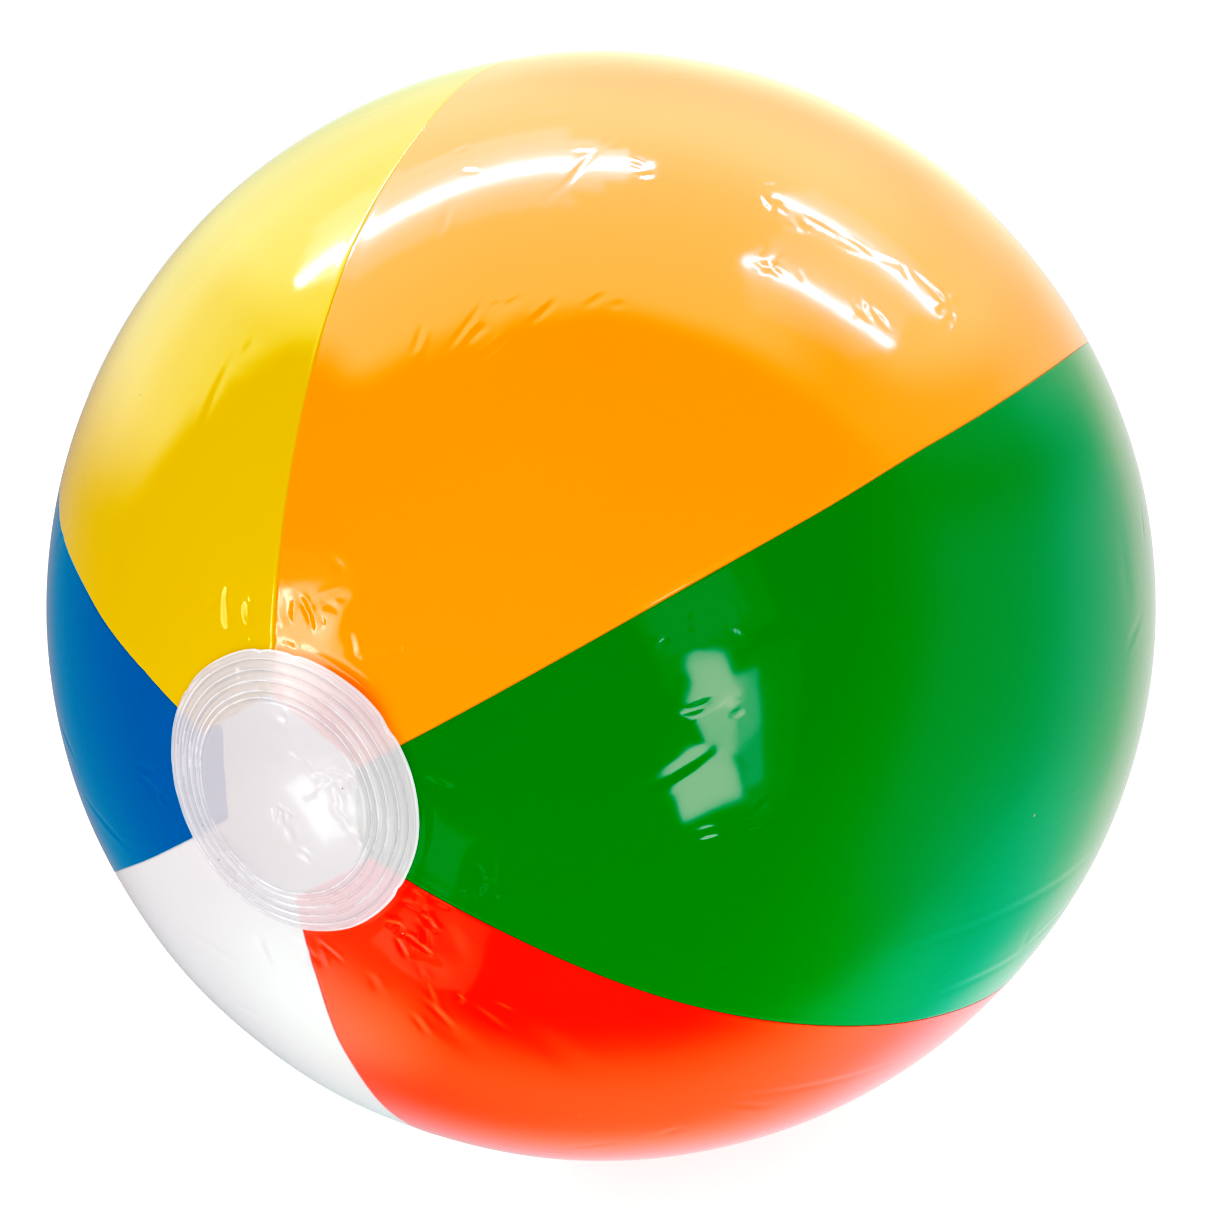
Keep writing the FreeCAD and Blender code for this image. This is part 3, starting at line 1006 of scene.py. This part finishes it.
def milky_material(name, alpha, low, high):
    """Milky film or clear soft PVC: cloudy, glossy and partly see-through."""
    material, tree, shader = new_material(name)
    where = tree.where("Object")
    cloudy = tree.mix(tree.noise(where, 60, 4), opaque(low), opaque(high))
    dusted = dusty(tree, where, cloudy, (0.3, 0.22, 0.18), 110, 0.022, 0.035)
    normal = rippled(tree, where, 150, 0.05 * MM)
    tree.join(dusted, shader.inputs["Base Color"])
    tree.join(normal, shader.inputs["Normal"])
    tree.join(normal, shader.inputs["Coat Normal"])
    set_inputs(shader, Roughness=0.25, Coat_Weight=1, Coat_Roughness=0.08, Alpha=alpha)
    return material


def lining_material(name, colour):
    """The inner face of the film, with a painted glow: an even emission that stands in for the
    light coming through the film.
    """
    material, _, shader = new_material(name)
    set_inputs(
        shader, Base_Color=opaque(0.1 * part for part in colour), Roughness=0.6,
        Emission_Color=(0.82, 0.72, 0.66, 1), Emission_Strength=0.62,
    )
    material.cycles.emission_sampling = "NONE"
    return material


# Each film's colour, that of its thicker patches, the tint of its reflections, and its
# refractive index if it isn't the usual one.
COLOURS = {
    "green": ((0.0, 0.188, 0.002), (0.0, 0.195, 0.003), (1.0, 1.0, 0.95)),
    "orange": ((1.0, 0.28, 0.0), (1.0, 0.295, 0.0), (1.0, 1.0, 0.8)),
    "yellow": ((0.78, 0.49, 0.0), (0.77, 0.47, 0.0), (0.9, 1.0, 0.38), 1.60),
    "blue": ((0.0, 0.108, 0.345), (0.0, 0.100, 0.33), (0.9, 0.95, 1.0)),
    "white": ((0.735, 0.72, 0.725), (0.76, 0.75, 0.755), (1.0, 0.85, 0.9)),
    "red": ((0.98, 0.008, 0.001), (0.98, 0.013, 0.002), (1.0, 1.0, 0.8)),
}
FILM_MATERIALS = {c: film_material(f"film_{c}", *looks) for c, looks in COLOURS.items()}
# Linings whose emission is a painted glow seen through the end discs.
LININGS = {c: lining_material(f"lining_{c}", looks[0]) for c, looks in COLOURS.items()}
MILKY = milky_material("film_milky", 0.47, (0.735, 0.735, 0.755), (0.785, 0.785, 0.80))
# Whiter film for the thick rim, also used to paint highlights just outside the weld rings.
MILKY_RIM_AND_HIGHLIGHT = milky_material("film_milky_rim_and_highlight", 0.66, (0.88, 0.88, 0.91), (0.94, 0.94, 0.96))
# Darker film that paints shade into the weld rings' grooves.
MILKY_WELD_SHADE = milky_material("film_milky_weld_shade", 0.58, (0.53, 0.54, 0.56), (0.58, 0.59, 0.61))
CLEAR = milky_material("soft_clear", 0.60, (0.78, 0.80, 0.84), (0.85, 0.87, 0.90))


# Build ----------------------------------

for index, colour in enumerate(GORES):
    points, faces, inner_faces, edge_shade = gore_mesh(index)
    gore = new_piece(
        f"gore_{colour}", points, faces, FILM_MATERIALS[colour],
        "ball", f"pvc_{colour}", f"panel_{colour}",
    )
    gore.data.materials.append(LININGS[colour])
    gore.data.attributes.new("edge_shade", "FLOAT", "POINT").data.foreach_set("value", edge_shade)
    for face in inner_faces:
        gore.data.polygons[face].material_index = 1

front = new_piece("disc_front", *disc_mesh(-1), MILKY, "ball", "pvc_milky", "end_disc_front")
back = new_piece(
    "disc_valve", *disc_mesh(1, hole=DISC_HOLE), MILKY, "ball", "pvc_milky", "end_disc_valve",
)
for disc in (front, back):
    disc.visible_shadow = False
    disc.data.materials.append(MILKY_RIM_AND_HIGHLIGHT)
    disc.data.materials.append(MILKY_WELD_SHADE)
    disc.data.polygons.foreach_set("material_index", disc_finish(disc.data))
new_piece("flange", *flange_mesh(), CLEAR, "ball", "valve_clear", "valve_flange")
skirt = new_piece("skirt", *skirt_mesh(), CLEAR, None, "valve_clear", "valve_skirt")
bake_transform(skirt)
new_piece("stem", *stem_mesh(), CLEAR, "valve", "valve_clear", "valve_stem")
new_piece("flap", *flap_mesh(), CLEAR, "flap", "valve_clear", "check_flap")
new_piece("stopper", *plug_mesh(), CLEAR, "stopper", "valve_clear", "plug")
strap = new_piece("strap", *strap_mesh(), CLEAR, None, "valve_clear", "plug_tether")
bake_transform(strap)


# Camera ---------------------------------

AZIMUTH, ELEVATION = math.radians(21.95), math.radians(14.12)
RIGHT = Vector((math.cos(AZIMUTH), math.sin(AZIMUTH), 0))
BACK = Vector((
    math.sin(AZIMUTH) * math.cos(ELEVATION),
    -math.cos(AZIMUTH) * math.cos(ELEVATION),
    math.sin(ELEVATION),
))
UP = BACK.cross(RIGHT)
STAND_OFF = 2.087 * BALL
AIM_RIGHT, AIM_UP = 0.0045 * STAND_OFF, -0.0005 * STAND_OFF


def studio(right, up, back):
    """A vector in the row frame from parts along the camera's right, up and back."""
    return RIGHT * right + UP * up + BACK * back


def placed(item, centre, right, up, back):
    """Puts an object in the scene, with its axes along three vectors."""
    bpy.context.scene.collection.objects.link(item)
    axes = Matrix((right, up, back)).transposed().to_4x4()
    item.matrix_world = Matrix.Translation(centre) @ axes
    return item


camera_data = bpy.data.cameras.new("camera")
camera_data.lens = 30.13
camera_data.clip_start = 0.01
camera_place = studio(AIM_RIGHT, AIM_UP, STAND_OFF)
bpy.context.scene.camera = placed(
    bpy.data.objects.new("camera", camera_data), camera_place, RIGHT, UP, BACK,
)


# Light ----------------------------------
# All vectors here are parts along the camera's right (X), up (Y) and back (Z).

X, Y, Z, DOWN, AHEAD = (1, 0, 0), (0, 1, 0), (0, 0, 1), (0, -1, 0), (0, 0, -1)
WORLD_LIGHT = 0.64
GLOSS_FLOOR = 0.005

# Each part of what the gloss sees is a product of smooth steps, each of which is
# (the way it runs, its start, its end, and the levels at both where they aren't 0 and 1).
GLOSS = {
    # soft glows of the room on the right and on the left
    "right_glow": [
        (X, 0.45, 0.66, 0, 1.45), (Y, 0.48, 0.64), (Z, 0.45, 0.2), (Z, -0.45, 0.1, 0.2, 1),
    ],
    "left_glow": [(X, 0.1, -0.3, 0, 0.6), (Y, 0.15, 0.45), (Z, -0.2, -0.45), (Z, -0.8, -0.55)],
    # a ceiling panel, and one next to it on the left
    "ceiling": [
        ((1, 1.1, 0), -0.1, 0.1), ((1, -0.5, 0), 0.0, 0.35, 2.5, 0.9), (Y, 0.28, 0.5),
        (Z, -0.6, -0.1, 0.15, 1),
    ],
    "left_panel": [
        ((0.34, 0.66, -1), -0.07, 0.07), ((-1, -1.1, 0), -0.1, 0.1, 0, 1.6), (Y, 0.15, 0.4),
        (Z, -0.6, -0.1, 0.15, 1),
    ],
    # the lit side on the right
    "side": [(X, 0.32, 0.95, 0, 0.95), (Z, -0.6, -0.1, 0.1, 1), (Z, 0.75, 0.35), (Y, 0.6, 0.1)],
    # the white backdrop, darker on the left
    "backdrop": [(Z, 0.05, -0.7, 0, 0.85), (X, -0.5, 0.15, 0.4, 1)],
    # the ground
    "low": [(Y, -0.2, -0.6, 0, 0.35), (X, 0.1, 0.6), (Z, 0.5, 0)],
    "ground": [(Y, -0.6, -0.8, 0, 0.7), (Z, 0.14, -0.10), (Z, -0.5, -0.15)],
    "ground_left": [
        (Y, -0.55, -0.75, 0, 0.6), (X, -0.3, -0.5), (Z, 0.42, 0.25), (Z, -0.7, -0.3),
    ],
}
CEILING_EDGES = (0.3, 0.66, -1), (-0.12, 0.66, -1)
BEHIND = [(Z, -0.8, -0.97, 0, 0.8), (Y, -0.3, 0.1)]

# How the gloss is tinted from the ground to the ceiling.
GLOSS_TINT = {
    "Red": [(Y, -0.2, -0.7, 1, 0.5)],
    "Green": [(Y, 0.05, 0.6, 1, 1.3)],
    "Blue": [(Y, 0.05, 0.6, 1, 0.85), (Y, -0.6, -0.95, 1, 0.45)],
}


def gloss_colour(tree):
    """The studio in the gloss: its parts, less the backdrop right behind the ball."""
    where = tree.where("Generated")
    ways = {}

    def along(way):
        if way not in ways:
            ways[way] = tree.dot(where, studio(*way))
        return ways[way]

    def steps(factors):
        return [tree.step(along(way), *span) for way, *span in factors]

    edge = tree.maths("MAXIMUM", *(along(way) for way in CEILING_EDGES))
    more = {
        "ceiling": [tree.step(edge, -0.07, 0.07)],
        "backdrop": [tree.maths("SUBTRACT", 1, tree.product(*steps(BEHIND)))],
    }
    gloss = GLOSS_FLOOR
    for name, factors in GLOSS.items():
        part = tree.product(*steps(factors), *more.get(name, []))
        gloss = tree.maths("ADD", part, gloss)
    channels = [
        (channel, tree.product(gloss, *steps(factors)))
        for channel, factors in GLOSS_TINT.items()
    ]
    return tree.node("CombineColor", channels).outputs["Color"]


def world_light():
    """White for the camera, even light for matt surfaces, and a studio for the gloss."""
    world = bpy.data.worlds.new("world")
    bpy.context.scene.world = world
    tree = Tree(world)
    rays = tree.node("LightPath").outputs
    matt, white = (WORLD_LIGHT, WORLD_LIGHT, WORLD_LIGHT, 1), (1, 1, 1, 1)
    colour = tree.mix(rays["Is Glossy Ray"], matt, gloss_colour(tree))
    colour = tree.mix(rays["Is Camera Ray"], colour, white)
    tree.join(colour, tree.nodes["Background"].inputs["Color"])


def lamp(
    name, centre, facing, along, length, width, radiance,
    glossy=True, diffuse=False, colour=(1, 1, 1),
):
    """A rectangular lamp: its centre, the way it faces and the way its length runs."""
    data = bpy.data.lights.new(name, "AREA")
    data.shape = "RECTANGLE"
    data.size = length
    data.size_y = width
    data.energy = radiance * math.pi * length * width
    data.color = colour
    back = -studio(*facing).normalized()
    right = studio(*along)
    right = (right - back * right.dot(back)).normalized()
    item = bpy.data.objects.new(name, data)
    placed(item, studio(*centre), right, back.cross(right), back)
    item.visible_glossy = glossy
    item.visible_diffuse = diffuse
    item.visible_camera = False


# The tubes, each with wider and fainter glows round it: (name, centre, length, how much
# shorter and how wide it is per step of size, and how faint). A glow is (size, radiance).
PINK = (1.0, 0.87, 1.5)
TUBES = [
    ("tube_left", (-0.42, 1.0, 0.17), 1.10, 0.035, 0.034, 1),
    ("tube_right", (0.78, 1.0, 0.16), 0.74, 0.015, 0.024, 1.4),
    ("tube_near", (0.77, 1.0, 0.50), 0.74, 0.015, 0.045, 1.9),
]
TUBE_GLOWS = [(1, 34), (2.2, 5), (4, 2.4), (7, 1.4), (11, 0.8)]

# Panes of a window in front, and cards on the left, as lamp() takes them.
PANES = [
    ("pane_top", (0.33, -0.215, 1.0), AHEAD, (0.4, -0.92, 0), 0.17, 0.12, 5.4),
    ("pane_middle", (0.392, -0.375, 1.0), AHEAD, (0.2, -0.98, 0), 0.20, 0.065, 5.0),
    ("pane_low", (0.345, -0.585, 1.0), AHEAD, (0.3, -0.95, 0), 0.22, 0.22, 5.4),
    ("pane_right", (0.475, -0.40, 1.0), AHEAD, (0.2, -0.98, 0), 0.42, 0.075, 3.7),
    ("pane_glow", (0.53, -0.45, 1.0), AHEAD, (0.1, -0.98, 0), 0.44, 0.10, 0.5),
    ("pane_far_glow", (0.56, -0.42, 1.0), AHEAD, (0.1, -0.98, 0), 0.60, 0.22, 0.3),
    ("pane_over", (0.28, -0.02, 1.0), AHEAD, (0.8, 0.4, 0), 0.28, 0.16, 0.9),
    ("pane_over_wide", (0.31, -0.01, 1.0), AHEAD, (0.8, 0.4, 0), 0.40, 0.26, 0.4),
]
CARDS = [
    ("card_left", (-1.2, -0.15, 1.06), X, Z, 0.42, 0.50, 2.8),
    ("card_bright", (-1.2, -0.15, 0.94), X, Z, 0.24, 0.44, 20),
    ("card_rim", (-1.2, -0.40, 1.20), X, Z, 0.20, 0.12, 3.5),
    ("card_wide", (-1.2, -0.10, 1.04), X, Z, 0.56, 0.66, 0.4),
    ("card_low", (-1.2, -0.85, 0.85), (1, 0.5, 0), Z, 0.36, 0.32, 5),
    ("card_core", (-1.2, -0.85, 0.85), (1, 0.5, 0), Z, 0.24, 0.20, 8),
    ("card_under", (-1.25, -1.85, 1.70), (0.45, 0.65, -0.61), Z, 0.55, 0.60, 0.75),
    ("card_red", (-1.0, -1.95, 0.85), (0.42, 0.84, -0.36), Z, 0.60, 0.60, 0.45),
]

# Large lamps that only matt surfaces see.
FILLS = [
    ("fill", (-0.4, 1.6, 1.6), (0.2, -0.7, -0.7), X, 2.5, 2.0, 1.1),
    ("fill_top", (-0.2, 1.6, 0.2), DOWN, X, 1.2, 1.2, 0.8),
    ("fill_low", (1.1, -1.1, 0.3), (-0.7, 0.7, -0.2), Z, 1.5, 1.5, 2.4),
]

world_light()
for size, radiance in TUBE_GLOWS:
    for name, centre, length, shorter, wider, fainter in TUBES:
        lamp(
            f"{name}_{size}", centre, DOWN, X,
            length - shorter * size, wider * size, radiance / fainter, colour=PINK,
        )
for values in PANES + CARDS:
    lamp(*values)
for values in FILLS:
    lamp(*values, glossy=False, diffuse=True)


# Floor and view -------------------------

FLOOR = 6.0
corners = [(-FLOOR, -FLOOR), (FLOOR, -FLOOR), (FLOOR, FLOOR), (-FLOOR, FLOOR)]
floor_mesh = bpy.data.meshes.new("floor")
floor_mesh.from_pydata([(x, y, REST_LEVEL) for x, y in corners], [], [(0, 1, 2, 3)])
floor_material, _, floor_shader = new_material("floor_white")
set_inputs(
    floor_shader, Base_Color=(0.9, 0.9, 0.9, 1), Roughness=0.9, Specular_IOR_Level=0.0,
    Emission_Color=(1, 1, 1, 1), Emission_Strength=0.75,
)
floor_mesh.materials.append(floor_material)
floor = bpy.data.objects.new("floor", floor_mesh)
bpy.context.scene.collection.objects.link(floor)
floor.visible_glossy = False
floor.visible_shadow = False

# The view deepens the dark ends of all channels together, of red and of blue.
RED, BLUE, ALL = 0, 2, 3
view = bpy.context.scene.view_settings
view.view_transform = "Standard"
view.use_curve_mapping = True
for channel, points in (
    (ALL, ((0.03, 0.010), (0.10, 0.075), (0.25, 0.25))),
    (RED, ((0.05, 0.002), (0.10, 0.010), (0.20, 0.14), (0.32, 0.32))),
    (BLUE, ((0.02, 0.004), (0.05, 0.036), (0.12, 0.12))),
):
    for x, y in points:
        view.curve_mapping.curves[channel].points.new(x, y)
view.curve_mapping.update()
